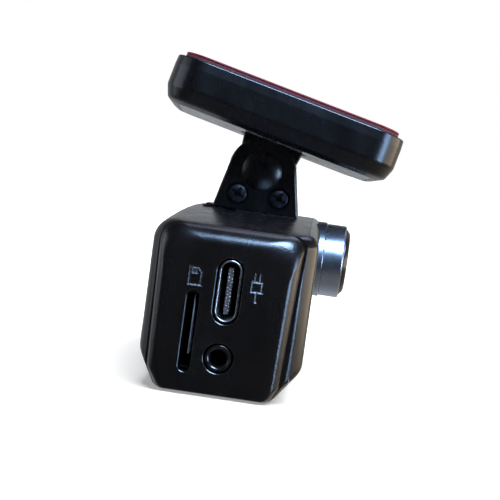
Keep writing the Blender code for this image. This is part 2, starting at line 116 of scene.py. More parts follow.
BALL = Vector(joints["ball_tilt"]["pos_m"]) / MM
BALL_RADIUS = 4.1
POCKET_RADIUS = 4.4
DOME_RADIUS = 5.5
CHEEK_ARC = 5.5
CHEEK_OUTER, CHEEK_INNER = 4.4, 2.8
FOOT_Z = low("clamp_plate").z
FOOT_BACK, FOOT_FRONT = 6.2, -8.0
FLANGE_BACK = high("socket_block").y
BASE_TOP = 29.6
SCREW_RECESS, SCREW_SUNK, SCREW_HOLE = 1.85, 0.7, 1.0
SCREW_HEAD, SCREW_SHANK, CROSS_TURN = 1.7, 0.8, math.radians(28)

STEM_TURN = Euler((math.radians(13.0), 0, 0)).to_matrix() @ Euler((0, math.radians(2.5), 0)).to_matrix()
PLATE_TURN = STEM_TURN @ Euler((0, 0, math.radians(2.5))).to_matrix()
PLATE_X, PLATE_Y, PLATE_CORNER = 14.0, 19.4, 5.5
PLATE_BOTTOM, PLATE_TOP = 4.8, 12.6
PLATE_WALL, PLATE_RIM = 2.7, PLATE_TOP - 0.28
RECESS_RADIUS, RECESS_TOP = 5.9, 6.0
PAD_INSET, PAD_SUNK, PAD_THICKNESS, FILM_THICKNESS = 1.2, 0.4, 0.5, 0.35


# ---------------------------------------------------------------- camera, floor and lights

BACKDROP = (0.03, 0.62)  # what reflections see towards -X and towards +X
FLOOR_GLOW = 0.30
FLOOR_RADIUS = 6.0  # metres


def make_camera():
    place, aim, up = Vector((-241.6, -11.25, 34.8)), Vector((0, -0.86, 19.0)), Vector((0, 0.139, 0.990))
    forward = (aim - place).normalized()
    right = forward.cross(up).normalized()
    data = bpy.data.cameras.new("camera")
    data.sensor_width = 36.0
    data.lens = 104.3
    data.clip_start = 0.01
    camera = bpy.data.objects.new("camera", data)
    turn = Matrix((right, right.cross(forward), -forward)).transposed().to_4x4()
    camera.matrix_world = Matrix.Translation(place * MM) @ turn
    bpy.context.scene.collection.objects.link(camera)
    bpy.context.scene.camera = camera


def make_light(name, kind, place, aim, strength, colour, size):
    data = bpy.data.lights.new(name, kind)
    data.energy = strength
    data.color = colour
    if kind == "SUN":
        data.angle = math.radians(size)
    else:
        data.shape = "RECTANGLE"
        data.size, data.size_y = (side * MM for side in size)
    light = bpy.data.objects.new(name, data)
    light.location = Vector(place) * MM
    light.rotation_mode = "QUATERNION"
    light.rotation_quaternion = (Vector(aim) - Vector(place)).to_track_quat("-Z", "Y")
    light.visible_camera = False
    bpy.context.scene.collection.objects.link(light)
    return light


def make_world():
    """White to the camera. Reflections see a pale low backdrop at +X, a dim -X and a warm floor."""
    world = bpy.data.worlds.new("studio")
    bpy.context.scene.world = world
    world.use_nodes = True
    tree = world.node_tree
    tree.nodes.clear()
    place = tree.nodes.new("ShaderNodeTexCoord")
    axes = tree.nodes.new("ShaderNodeSeparateXYZ")
    tree.links.new(place.outputs["Generated"], axes.inputs[0])

    def spread(axis, first, last, least, most, kind="SMOOTHSTEP"):
        node = tree.nodes.new("ShaderNodeMapRange")
        node.interpolation_type = kind
        for name, value in (("From Min", first), ("From Max", last), ("To Min", least), ("To Max", most)):
            node.inputs[name].default_value = value
        tree.links.new(axes.outputs[axis], node.inputs["Value"])
        return node.outputs["Result"]

    tint = tree.nodes.new("ShaderNodeValToRGB")
    tree.links.new(spread("Y", -1, 1, 0, 1, "LINEAR"), tint.inputs["Fac"])
    tint.color_ramp.elements[0].color = (1.0, 0.80, 0.56, 1)
    tint.color_ramp.elements[1].color = (0.70, 0.74, 0.78, 1)
    tint.color_ramp.elements.new(0.5).color = (0.80, 0.84, 0.88, 1)
    total = tree.nodes.new("ShaderNodeMath")
    total.operation = "MULTIPLY_ADD"
    tree.links.new(spread("X", -0.35, 0.95, BACKDROP[0], BACKDROP[1]), total.inputs[0])
    tree.links.new(spread("Z", 0.15, 0.65, 1.0, 0.1), total.inputs[1])
    tree.links.new(spread("Z", -0.9, -0.2, FLOOR_GLOW, 0.0), total.inputs[2])
    around = tree.nodes.new("ShaderNodeBackground")
    tree.links.new(tint.outputs["Color"], around.inputs["Color"])
    tree.links.new(total.outputs[0], around.inputs["Strength"])
    behind = tree.nodes.new("ShaderNodeBackground")
    behind.inputs["Color"].default_value = (1, 1, 1, 1)
    seen = tree.nodes.new("ShaderNodeLightPath")
    mix = tree.nodes.new("ShaderNodeMixShader")
    tree.links.new(seen.outputs["Is Camera Ray"], mix.inputs["Fac"])
    tree.links.new(around.outputs[0], mix.inputs[1])
    tree.links.new(behind.outputs[0], mix.inputs[2])
    out = tree.nodes.new("ShaderNodeOutputWorld")
    tree.links.new(mix.outputs[0], out.inputs["Surface"])


def make_stage():
    """A white floor, and lights of which some show only in reflections."""
    bm = bmesh.new()
    bmesh.ops.create_circle(bm, cap_ends=True, segments=96, radius=FLOOR_RADIUS)
    mesh = bpy.data.meshes.new("floor")
    bm.to_mesh(mesh)
    bm.free()
    floor = bpy.data.objects.new("floor", mesh)
    floor.location.z = -0.02 * MM
    floor.visible_glossy = False
    bpy.context.scene.collection.objects.link(floor)
    paper = bpy.data.materials.new("white_paper")
    paper.use_nodes = True
    shader = paper.node_tree.nodes["Principled BSDF"]
    shader.inputs["Base Color"].default_value = (0.86, 0.86, 0.86, 1)
    shader.inputs["Roughness"].default_value = 0.9
    shader.inputs["Specular IOR Level"].default_value = 0.0
    shader.inputs["Emission Color"].default_value = (1, 1, 1, 1)
    shader.inputs["Emission Strength"].default_value = 0.3
    mesh.materials.append(paper)

    ceiling = make_light("ceiling", "SUN", (20, -120, 500), (0, 0, 0), 5.6, (1.0, 1.0, 1.0), 60)
    ceiling.visible_glossy = False
    blue, pale, warm = (0.41, 0.63, 1.0), (0.78, 0.86, 1.0), (1.0, 0.84, 0.64)
    shown = [
        make_light("window", "AREA", (-370, -160, 470), (0, 0, 15), 15.5, blue, (300, 240)),
        make_light("side_window", "AREA", (-200, -380, 20), (-10, 0, 26), 1.2, blue, (110, 160)),
        make_light("overhead", "AREA", (180, -120, 420), (0, 0, 15), 0.8, (0.70, 0.74, 1.0), (300, 300)),
    ]
    for light in shown:
        light.visible_diffuse = False
    make_light("left_panel", "AREA", (-40, 420, 90), (-20, 0, 15), 0.4, pale, (300, 260))
    make_light("right_panel", "AREA", (60, -420, 15), (-10, 0, 12), 0.5, warm, (360, 120))
    bpy.context.scene.view_settings.view_transform = "Standard"


# ---------------------------------------------------------------- materials


class Look:
    """A Principled material in the frame's own coordinates, given detail by its methods."""

    def __init__(self, slot, colour, roughness, metallic=0.0, **sockets):
        self.slot = slot
        self.material = bpy.data.materials.new(slot)
        self.material.use_nodes = True
        self.tree = self.material.node_tree
        self.shader = self.tree.nodes["Principled BSDF"]
        self.shader.inputs["Base Color"].default_value = (*colour, 1)
        self.shader.inputs["Roughness"].default_value = roughness
        self.shader.inputs["Metallic"].default_value = metallic
        for name, value in sockets.items():
            self.shader.inputs[name.replace("_", " ")].default_value = value
        self.place = self.tree.nodes.new("ShaderNodeTexCoord")
        self.height = None

    def noise(self, size, detail=3.0, stretch=(1, 1, 1), kind="ShaderNodeTexNoise"):
        """A noise whose features are about `size` mm, longer along an axis whose stretch is over 1."""
        mapping = self.tree.nodes.new("ShaderNodeMapping")
        mapping.inputs["Scale"].default_value = [1 / (size * MM * s) for s in stretch]
        self.tree.links.new(self.place.outputs["Object"], mapping.inputs["Vector"])
        noise = self.tree.nodes.new(kind)
        noise.inputs["Scale"].default_value = 1.0
        noise.inputs["Detail"].default_value = detail
        self.tree.links.new(mapping.outputs["Vector"], noise.inputs["Vector"])
        return noise.outputs["Distance" if kind == "ShaderNodeTexVoronoi" else "Fac"]

    def vary(self, socket, source, least, most):
        spread = self.tree.nodes.new("ShaderNodeMapRange")
        spread.inputs["From Min"].default_value = 0.3
        spread.inputs["From Max"].default_value = 0.7
        spread.inputs["To Min"].default_value = least
        spread.inputs["To Max"].default_value = most
        self.tree.links.new(source, spread.inputs["Value"])
        self.tree.links.new(spread.outputs["Result"], self.shader.inputs[socket])
        return self

    def tint(self, source, first, second):
        ramp = self.tree.nodes.new("ShaderNodeValToRGB")
        ramp.color_ramp.elements[0].position = 0.35
        ramp.color_ramp.elements[1].position = 0.65
        ramp.color_ramp.elements[0].color = (*first, 1)
        ramp.color_ramp.elements[1].color = (*second, 1)
        self.tree.links.new(source, ramp.inputs["Fac"])
        self.tree.links.new(ramp.outputs["Color"], self.shader.inputs["Base Color"])
        return self

    def bump(self, source, depth, strength=1.0):
        bump = self.tree.nodes.new("ShaderNodeBump")
        bump.inputs["Distance"].default_value = depth * MM
        bump.inputs["Strength"].default_value = strength
        self.tree.links.new(source, bump.inputs["Height"])
        if self.height:
            self.tree.links.new(self.height, bump.inputs["Normal"])
        self.height = bump.outputs["Normal"]
        self.tree.links.new(self.height, self.shader.inputs["Normal"])
        return self


def moulded(slot, colour, other, roughness, grain=0.16, depth=0.006):
    """Moulded plastic: a fine spark-eroded grain, faint flow marks and handling marks in its gloss."""
    look = Look(slot, colour, roughness)
    look.tint(look.noise(9.0, 4.0), colour, other)
    look.vary("Roughness", look.noise(3.5, 6.0, (1, 1, 2.5)), roughness - 0.04, roughness + 0.04)
    look.bump(look.noise(grain, 2.0), depth)
    return look


def make_looks():
    made = [
        moulded("housing_plastic", (0.0036, 0.0031, 0.0036), (0.0052, 0.0046, 0.0052), 0.25, 0.26, 0.024),
        moulded("plate_plastic", (0.0024, 0.0024, 0.0038), (0.0034, 0.0032, 0.0056), 0.27),
        moulded("bracket_plastic", (0.0022, 0.0021, 0.0027), (0.0034, 0.0032, 0.0042), 0.25),
        moulded("insulator", (0.060, 0.066, 0.095), (0.080, 0.088, 0.125), 0.42),
        # The underside cover's mid grey, far lighter than the black plate, is painted reflection: it stands
        # in for the pale floor seen on black plastic at a grazing angle.
        moulded("cover_plastic", (0.070, 0.070, 0.082), (0.085, 0.085, 0.098), 0.24, 0.5, 0.0015),
    ]
    gloss = Look("gloss_plastic", (0.006, 0.006, 0.007), 0.22)
    gloss.vary("Roughness", gloss.noise(2.5, 6.0), 0.19, 0.24)
    gloss.tint(gloss.noise(12.0), (0.005, 0.005, 0.006), (0.007, 0.007, 0.009))
    made.append(gloss.bump(gloss.noise(5.0, 1.0), 0.004))

    barrel = Look("barrel_metal", (0.36, 0.39, 0.45), 0.28, 1.0)
    barrel.vary("Roughness", barrel.noise(2.0, 5.0), 0.25, 0.31)
    barrel.tint(barrel.noise(6.0, 4.0), (0.33, 0.36, 0.42), (0.39, 0.42, 0.47))
    made.append(barrel.bump(barrel.noise(0.12, 2.0, (60, 1, 60)), 0.004))

    steel = Look("port_steel", (0.48, 0.45, 0.42), 0.28, 1.0)
    steel.vary("Roughness", steel.noise(0.8, 5.0), 0.22, 0.36)
    steel.tint(steel.noise(1.6, 4.0), (0.43, 0.41, 0.38), (0.53, 0.50, 0.46))
    made.append(steel.bump(steel.noise(0.6, 2.0, (4, 1, 1)), 0.0006))

    screw = Look("screw_steel", (0.04, 0.04, 0.045), 0.36, 0.9)
    screw.vary("Roughness", screw.noise(0.5, 5.0), 0.28, 0.46)
    screw.tint(screw.noise(0.7, 4.0), (0.028, 0.028, 0.034), (0.050, 0.048, 0.054))
    made.append(screw.bump(screw.noise(0.12, 3.0), 0.004))

    aluminium = Look("heat_aluminium", (0.70, 0.71, 0.73), 0.4, 1.0)
    aluminium.vary("Roughness", aluminium.noise(1.5, 4.0), 0.32, 0.48)
    aluminium.tint(aluminium.noise(4.0), (0.66, 0.67, 0.69), (0.74, 0.75, 0.77))
    made.append(aluminium.bump(aluminium.noise(0.15, 2.0, (40, 1, 1)), 0.004))

    board = Look("board_laminate", (0.01, 0.12, 0.05), 0.4)
    board.vary("Roughness", board.noise(2.0, 3.0), 0.32, 0.5)
    board.tint(board.noise(1.2, 1.0, (1, 1, 3)), (0.008, 0.10, 0.04), (0.016, 0.15, 0.06))
    made.append(board.bump(board.noise(0.4, 2.0), 0.008))

    wrap = Look("battery_wrap", (0.10, 0.12, 0.30), 0.4)
    wrap.vary("Roughness", wrap.noise(2.0, 4.0), 0.3, 0.5)
    wrap.tint(wrap.noise(5.0), (0.09, 0.11, 0.28), (0.12, 0.14, 0.33))
    made.append(wrap.bump(wrap.noise(3.0, 3.0, (4, 1, 1)), 0.03))

    glass = Look("lens_glass", (0.60, 0.72, 0.90), 0.03, Transmission_Weight=0.9, IOR=1.52, Coat_Weight=0.6)
    glass.vary("Roughness", glass.noise(2.0, 4.0), 0.015, 0.05)
    made.append(glass.tint(glass.noise(7.0), (0.52, 0.66, 0.90), (0.62, 0.74, 0.90)))

    clear = Look("light_pipe", (0.80, 0.82, 0.85), 0.2, Transmission_Weight=0.7, IOR=1.58)
    clear.vary("Roughness", clear.noise(0.6, 4.0), 0.16, 0.30)
    made.append(clear.tint(clear.noise(1.0), (0.74, 0.76, 0.80), (0.84, 0.86, 0.88)))

    foam = Look("adhesive_foam", (0.16, 0.02, 0.03), 0.8)
    foam.vary("Roughness", foam.noise(0.4, 4.0), 0.7, 0.9)
    foam.tint(foam.noise(0.5, 4.0), (0.12, 0.012, 0.020), (0.20, 0.026, 0.036))
    made.append(foam.bump(foam.noise(0.16, 0.0, kind="ShaderNodeTexVoronoi"), 0.04))

    film = Look("release_film", (0.21, 0.010, 0.020), 0.4, Specular_IOR_Level=0.25)
    film.vary("Roughness", film.noise(1.5, 4.0), 0.34, 0.48)
    film.tint(film.noise(9.0, 3.0), (0.20, 0.009, 0.018), (0.22, 0.011, 0.021))
    made.append(film.bump(film.noise(7.0, 2.0), 0.03))
    return {look.slot: look.material for look in made}


# ---------------------------------------------------------------- mesh helpers


def finish_mesh(name, bm, smooth_below=34.0):
    bmesh.ops.remove_doubles(bm, verts=bm.verts, dist=0.0005)
    bmesh.ops.recalc_face_normals(bm, faces=bm.faces)
    bmesh.ops.scale(bm, vec=(MM, MM, MM), verts=bm.verts)
    mesh = bpy.data.meshes.new(name)
    bm.to_mesh(mesh)
    bm.free()
    smooth(mesh, smooth_below)
    obj = bpy.data.objects.new(name, mesh)
    bpy.context.scene.collection.objects.link(obj)
    return obj


def smooth(mesh, below=34.0):
    mesh.shade_smooth()
    mesh.set_sharp_from_angle(angle=math.radians(below))


def rounded(corners, steps=10):
    """Points round a polygon of (a, b, radius) corners: an arc of `steps` parts, or one point at radius 0."""
    points = []
    for i, (a, b, radius) in enumerate(corners):
        here = Vector((a, b))
        if not radius:
            points.append(here)
            continue
        back = (Vector(corners[i - 1][:2]) - here).normalized()
        ahead = (Vector(corners[(i + 1) % len(corners)][:2]) - here).normalized()
        half = back.angle(ahead) / 2
        centre = here + (back + ahead).normalized() * radius / math.sin(half)
        start = here + back * radius / math.tan(half) - centre
        end = here + ahead * radius / math.tan(half) - centre
        turn = start.angle_signed(end)
        points += [centre + Matrix.Rotation(-turn * step / steps, 2) @ start for step in range(steps + 1)]
    return points


def ring(outline, x):
    return [Vector((x, a, b)) for a, b in outline]


def blend_rings(first, second, share):
    return [a.lerp(b, share) for a, b in zip(first, second)]


def loft(name, rings, closed=False, **finish):
    bm = bmesh.new()
    rows = [[bm.verts.new(point) for point in points] for points in rings]
    pairs = list(zip(rows, rows[1:]))
    if closed:
        pairs.append((rows[-1], rows[0]))
    else:
        bm.faces.new(rows[0])
        bm.faces.new(rows[-1])
    for row, following in pairs:
        for i in range(len(row)):
            j = (i + 1) % len(row)
            bm.faces.new((row[i], row[j], following[j], following[i]))
    return finish_mesh(name, bm, **finish)


def turned(name, profile, origin, axis, steps=72, **finish):
    """A closed profile of (radius, distance[, corner radius]) points, turned round the axis."""
    bm = bmesh.new()
    corners = [(*point, 0) if len(point) == 2 else point for point in profile]
    points = [bm.verts.new((p.x, 0, p.y)) for p in rounded(corners, 5)]
    edges = []
    for i, point in enumerate(points):
        following = points[(i + 1) % len(points)]
        if point.co.x > 0 or following.co.x > 0:
            edges.append(bm.edges.new((point, following)))
    bmesh.ops.spin(bm, geom=points + edges, cent=(0, 0, 0), axis=(0, 0, 1), steps=steps, angle=2 * math.pi)
    turn = Vector(axis).to_track_quat("Z", "Y").to_matrix().to_4x4()
    bmesh.ops.transform(bm, matrix=Matrix.Translation(origin) @ turn, verts=bm.verts)
    return finish_mesh(name, bm, **finish)


def box(name, start, end, bevel=0.0, segments=3):
    start, end = Vector(start), Vector(end)
    bm = bmesh.new()
    bmesh.ops.create_cube(bm, size=1.0)
    bmesh.ops.scale(bm, vec=end - start, verts=bm.verts)
    bmesh.ops.translate(bm, vec=(start + end) / 2, verts=bm.verts)
    if bevel:
        bmesh.ops.bevel(bm, geom=bm.edges[:], offset=bevel, segments=segments, affect="EDGES", profile=0.5)
    return finish_mesh(name, bm)


def sphere(name, radius, centre, sides=64):
    bm = bmesh.new()
    bmesh.ops.create_uvsphere(bm, u_segments=sides, v_segments=sides // 2, radius=radius)
    bmesh.ops.translate(bm, vec=centre, verts=bm.verts)
    return finish_mesh(name, bm)


def cylinder(name, radius, start, end, lip=0.0, sides=48):
    """A cutter from start to end. A lip flares its first millimetre, which rounds the edge of its hole."""
    start, end = Vector(start), Vector(end)
    length = (end - start).length
    profile = [(0, 0), (radius + lip, 0)]
    if lip:
        profile.append((radius + lip, 1.0))
        profile += [(radius + lip * (1 - math.sin(a)), 1.0 + lip * (1 - math.cos(a))) for a in quarter(4)]
    return turned(name, profile + [(radius, length), (0, length)], start, end - start, sides)


def quarter(steps):
    """The angles of a quarter turn, without its first."""
    return [math.pi / 2 * step / steps for step in range(1, steps + 1)]


def stadium(centre, length, width, grow=0.0, along="z", steps=14):
    """A slot's outline in (y, z) with round ends, `grow` larger all round."""
    radius, half = width / 2 + grow, (length - width) / 2
    points = []
    for side, first in ((1, 0.0), (-1, math.pi)):
        for step in range(steps + 1):
            angle = first + math.pi * step / steps
            a, b = radius * math.cos(angle), side * half + radius * math.sin(angle)
            points.append((centre[0] + a, centre[1] + b) if along == "z" else (centre[0] + b, centre[1] + a))
    return points


def keep_flat(mesh):
    """Gives a mesh crisp edges, and faces square to X that take no shading from their neighbours."""
    smooth(mesh, CRISP)
    for face in mesh.polygons:
        if abs(face.normal.x) > 0.99999:
            face.use_smooth = False


def apply_modifiers(obj, smooth_below=34.0):
    bpy.context.view_layer.update()
    solid = bpy.data.meshes.new_from_object(obj.evaluated_get(bpy.context.evaluated_depsgraph_get()))
    obj.modifiers.clear()
    obj.data = solid
    if smooth_below:
        smooth(solid, smooth_below)
    return obj


def boolean(target, tool, operation="DIFFERENCE"):
    """The target cut by, joined to or kept inside the tool, which is removed."""
    made = target.modifiers.new("boolean", "BOOLEAN")
    made.operation = operation
    made.object = tool
    apply_modifiers(target)
    bpy.data.objects.remove(tool, do_unlink=True)
    return target


def soften(obj, width, segments=3, angle=50.0):
    """Rounds the sharp edges of a clean mesh."""
    bevel = obj.modifiers.new("round", "BEVEL")
    bevel.width = width * MM
    bevel.segments = segments
    bevel.limit_method = "ANGLE"
    bevel.angle_limit = math.radians(angle)
    return apply_modifiers(obj)


def turn_on_ball(obj, turn):
    """Moves a piece from the stem's own frame, with the ball's centre as origin, to its place."""
    obj.data.transform(Matrix.Translation(BALL * MM) @ turn.to_4x4())
    return obj


def dress(obj, body, slot, *nodes):
    """Gives a piece its material and slot, sets it on its body and hides the CAD nodes that it stands for."""
    obj.data.materials.clear()
    obj.data.materials.append(looks[slot])
    flats = obj.modifiers.new("flat_faces", "WEIGHTED_NORMAL")
    flats.keep_sharp = True
    flats.weight = 100
    apply_modifiers(obj, None)
    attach(obj, body)
    if nodes:
        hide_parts(*nodes)
    return obj


# ---------------------------------------------------------------- housing


def crowned(points):
    """A ring of the housing with its top raised, most at mid-length."""
    raised = []
    for point in points:
        share = min(max((point.z - CROWN_FROM) / (TOP - CROWN_FROM), 0), 1)
        rise = CROWN * share * share * (1 - (point.x / HOUSING_END) ** 2)
        raised.append(point + Vector((0, 0, rise)))
    return raised


def housing_rings(end_steps=10, middle_steps=16):
    """The housing's outside from end to end."""
    end, full = rounded(SHELL_END), rounded(SECTION)
    near = []
    for step in range(end_steps + 1):
        share = step / end_steps
        x = -HOUSING_END + END_ROUND * share
        near.append(blend_rings(ring(end, x), ring(full, x), 1 - (1 - share) ** 2))
    inner = HOUSING_END - END_ROUND
    centre = [ring(full, -inner + 2 * inner * step / middle_steps) for step in range(1, middle_steps)]
    far = [[Vector((-p.x, p.y, p.z)) for p in points] for points in reversed(near)]
    return [crowned(points) for points in near + centre + far]


def in_front(y):
    """A box round all of the housing that lies in front of y."""
    return box("room", (-50, -20, -5), (50, y, 35))


def lens_cutter(radius, back, sides=48):
    at = middle("lens_barrel")
    return cylinder("hole", radius, (0, -20, at.z), (0, back, at.z), sides=sides)


def make_housing():
    cavity = rounded(CAVITY)
    inner = [ring(cavity, HOUSING_END), ring(cavity, -HOUSING_END)]
    shell = loft("housing_shell_skin", housing_rings() + inner, closed=True)
    boolean(shell, in_front(PANEL_BACK + SEAM))
    boolean(shell, lens_cutter(LENS_HOLE, -5))
    screw = middle("bracket_screw")
    boolean(shell, cylinder("hole", MOUNT_HOLE, (0, screw.y, 20), (0, screw.y, 28)))
    for node, radius in (("power_button", BUTTON_RADIUS), ("light_pipe", PIPE_RADIUS)):
        at = middle(node)
        boolean(shell, cylinder("hole", radius + GAP, (at.x, 12.4, at.z), (at.x, 5, at.z), 0.25))
    dress(shell, "housing", "housing_plastic", "housing_shell")

    panel = loft("front_panel_skin", housing_rings())
    boolean(panel, in_front(PANEL_BACK), "INTERSECT")
    boolean(panel, lens_cutter(LENS_HOLE, -5))
    boolean(panel, lens_cutter(high("lens_base_ring").x + SEAM, -LENS_SEAT, sides=96))
    dress(panel, "housing", "gloss_plastic", "front_panel")


def cap_rings(side, steps=14):
    """The outside of an end cap, its lip, and the pocket behind its face."""
    face, rim, cavity = rounded(CAP_FACE), rounded(CAP_RIM), rounded(CAVITY)
    centre = Vector((0, CAP_MIDDLE))
    lip = [centre + (p - centre) * CAP_LIP for p in cavity]
    pocket = [centre + (p - centre) * CAP_POCKET for p in cavity]
    rings = []
    turn = math.acos(1 - CAP_THICKNESS / CAP_ROUND)
    for step in range(steps + 1):
        angle = turn * (step / steps) ** 1.3
        x = side * (HALF_LENGTH - CAP_ROUND * (1 - math.cos(angle)))
        rings.append(blend_rings(ring(face, x), ring(rim, x), math.sin(angle) / math.sin(turn)))
    back = side * (HALF_LENGTH - CAP_THICKNESS)
    lip_end = back - side * CAP_LIP_LENGTH
    rings += [ring(lip, back), ring(lip, lip_end)]
    rings += [ring(pocket, lip_end), ring(pocket, side * (HALF_LENGTH - CAP_WALL))]
    return rings


def port_hole(outline, lip=0.22):
    """A cutter through the port end whose mouth is rounded by `lip`. outline(grow) gives its edge."""
    face = -HALF_LENGTH
    rings = [ring(outline(lip), face - 1), ring(outline(lip), face)]
    rings += [ring(outline(lip * (1 - math.sin(a))), face + lip * (1 - math.cos(a))) for a in quarter(4)]
    return loft("hole", rings + [ring(outline(0), face + 6)])


def groove(target, start, end):
    """A shallow V-shaped groove in the port end's face, between two (y, z) points."""
    start, end = Vector(start), Vector(end)
    along = (end - start).normalized()
    across = Vector((-along.y, along.x))
    rings = []
    for half, x in ((1.5 * GLYPH_LINE, -2 * GLYPH_DEPTH), (0.02, GLYPH_DEPTH)):
        near, far, wide = start - along * half, end + along * half, across * half
        rings.append(ring([near - wide, far - wide, far + wide, near + wide], x - HALF_LENGTH))
    boolean(target, loft("groove", rings))


def grooves(target, centre, points, closed=True):
    """Grooves from point to point, which are placed from the centre."""
    placed = [(centre[0] + a, centre[1] + b) for a, b in points]
    for start, end in zip(placed, placed[1:] + placed[:1] * closed):
        groove(target, start, end)


def card_glyph(target, centre):
    """A generic card with a cut corner and three contacts."""
    grooves(target, centre, [(-0.85, -1.2), (0.85, -1.2), (0.85, 1.2), (-0.3, 1.2), (-0.85, 0.6)])
    for a in (-0.1, 0.2, 0.5):
        grooves(target, centre, [(a, 0.45), (a, 0.85)], closed=False)


def plug_glyph(target, centre):
    """A generic plug: a body, two pins and a lead."""
    grooves(target, centre, [(-0.7, -0.5), (0.7, -0.5), (0.7, 0.9), (-0.7, 0.9)])
    for a in (-0.35, 0.35):
        grooves(target, centre, [(a, 1.1), (a, 1.9)], closed=False)
    grooves(target, centre, [(0, -0.7), (0, -1.9)], closed=False)


def make_caps():
    cap = loft("port_end_skin", cap_rings(-1))
    usb, card, jack = middle("usb_c_shell"), middle("card_socket"), middle("av_jack")
    inlet = USB_WIDTH, USB_HEIGHT
    boolean(cap, port_hole(lambda grow: stadium((usb.y, usb.z), *inlet, PORT_CLEARANCE + grow)))
    boolean(cap, port_hole(lambda grow: stadium((card.y, card.z), *CARD_SLOT, grow)))
    width = 2 * (JACK_RADIUS + PORT_CLEARANCE)
    nearly = width - 0.001  # a stadium this wide is a circle
    boolean(cap, port_hole(lambda grow: stadium((jack.y, jack.z), width, nearly, grow, steps=24)))
    card_glyph(cap, (card.y, GLYPH_Z))
    plug_glyph(cap, (usb.y - 4.0, GLYPH_Z - 0.6))
    keep_flat(cap.data)
    dress(cap, "housing", "housing_plastic", "port_end_cap")

    far = loft("speaker_end_skin", cap_rings(1))
    for number in range(SLITS):
        above = (number - (SLITS - 1) / 2) * SLIT_PITCH
        half = math.sqrt(SLIT_REACH**2 - above**2)
        outline = stadium((0, CAP_MIDDLE + above), 2 * half, SLIT_WIDTH, along="y")
        boolean(far, loft("slit", [ring(outline, HALF_LENGTH - 4), ring(outline, HALF_LENGTH + 2)]))
    dress(far, "housing", "housing_plastic", "speaker_end_cap")


# ---------------------------------------------------------------- ports


def boxes(name, spans, bevel=0.0):
    """Several rounded boxes as one piece. Each span is its (start, end) corners."""
    made = [box(f"{name}_{number}", start, end, bevel) for number, (start, end) in enumerate(spans)]
    joined = bmesh.new()
    for obj in made:
        joined.from_mesh(obj.data)
        bpy.data.objects.remove(obj, do_unlink=True)
    bmesh.ops.scale(joined, vec=(1 / MM, 1 / MM, 1 / MM), verts=joined.verts)
    return finish_mesh(name, joined)


def make_usb():
    at, front, back = middle("usb_c_shell"), low("usb_c_shell").x, high("usb_c_shell").x
    lip = USB_WALL / 2
    rings = [ring(stadium((at.y, at.z), USB_WIDTH, USB_HEIGHT, -USB_WALL), back)]
    for step in range(9):
        angle = math.pi * step / 8
        outline = stadium((at.y, at.z), USB_WIDTH, USB_HEIGHT, -lip - lip * math.cos(angle))
        rings.append(ring(outline, front + lip - lip * math.sin(angle)))
    rings.append(ring(stadium((at.y, at.z), USB_WIDTH, USB_HEIGHT), back))
    dress(loft("usb_ring", rings, closed=True), "housing", "port_steel", "usb_c_shell")

    start, end = low("usb_c_tongue"), high("usb_c_tongue")
    dress(box("usb_tongue_skin", start, end, 0.12), "housing", "insulator", "usb_c_tongue")
    count, pitch, width, proud, grip, stagger = 12, 0.5, 0.25, 0.03, 0.26, 0.1
    strips = []
    for number in range(count):
        z = at.z + (number - (count - 1) / 2) * pitch
        for side, shift in ((start.y - proud, -stagger), (end.y - grip, stagger)):
            near = (start.x - 0.02, side, z + shift - width / 2)
            strips.append((near, (end.x - 1.5, side + proud + grip, z + shift + width / 2)))
    dress(boxes("usb_contacts", strips, 0.02), "housing", "port_steel")


def make_card_socket():
    """A dark tray with a thin steel spring down its middle, whose edge shows in the slot."""
    start, end = low("card_socket"), high("card_socket")
    tray = box("card_tray", (start.x + 0.4, start.y, start.z), end, 0.1)
    room_start = (start.x - 1, start.y + 0.3, start.z + 0.35)
    boolean(tray, box("room", room_start, (end.x - 0.6, end.y - 0.25, end.z - 0.35)))
    dress(tray, "housing", "gloss_plastic", "card_socket")
    spring_y, thickness = start.y + 0.75, 0.2
    spring_start = (start.x - 0.4, spring_y, start.z + 2.2)
    spring_end = (end.x - 1, spring_y + thickness, end.z - 0.4)
    dress(box("card_spring", spring_start, spring_end, 0.06), "housing", "heat_aluminium")


def make_jack():
    start, at = low("av_jack").x, middle("av_jack")
    rim = start + 0.05
    body, step, depth, back = 2.6, 4.0, 11.0, 12.0
    profile = [(JACK_BORE, 0.5, 0.1), (1.4, 0.12, 0.1), (1.55, 0.0, 0.06), (JACK_RADIUS, 0.0, 0.14)]
    profile += [(JACK_RADIUS, step), (body, step), (body, back), (0, back), (0, depth), (JACK_BORE, depth)]
    dress(turned("jack_body", profile, (rim, at.y, at.z), (1, 0, 0)), "housing", "gloss_plastic", "av_jack")


# ---------------------------------------------------------------- lens, button and light


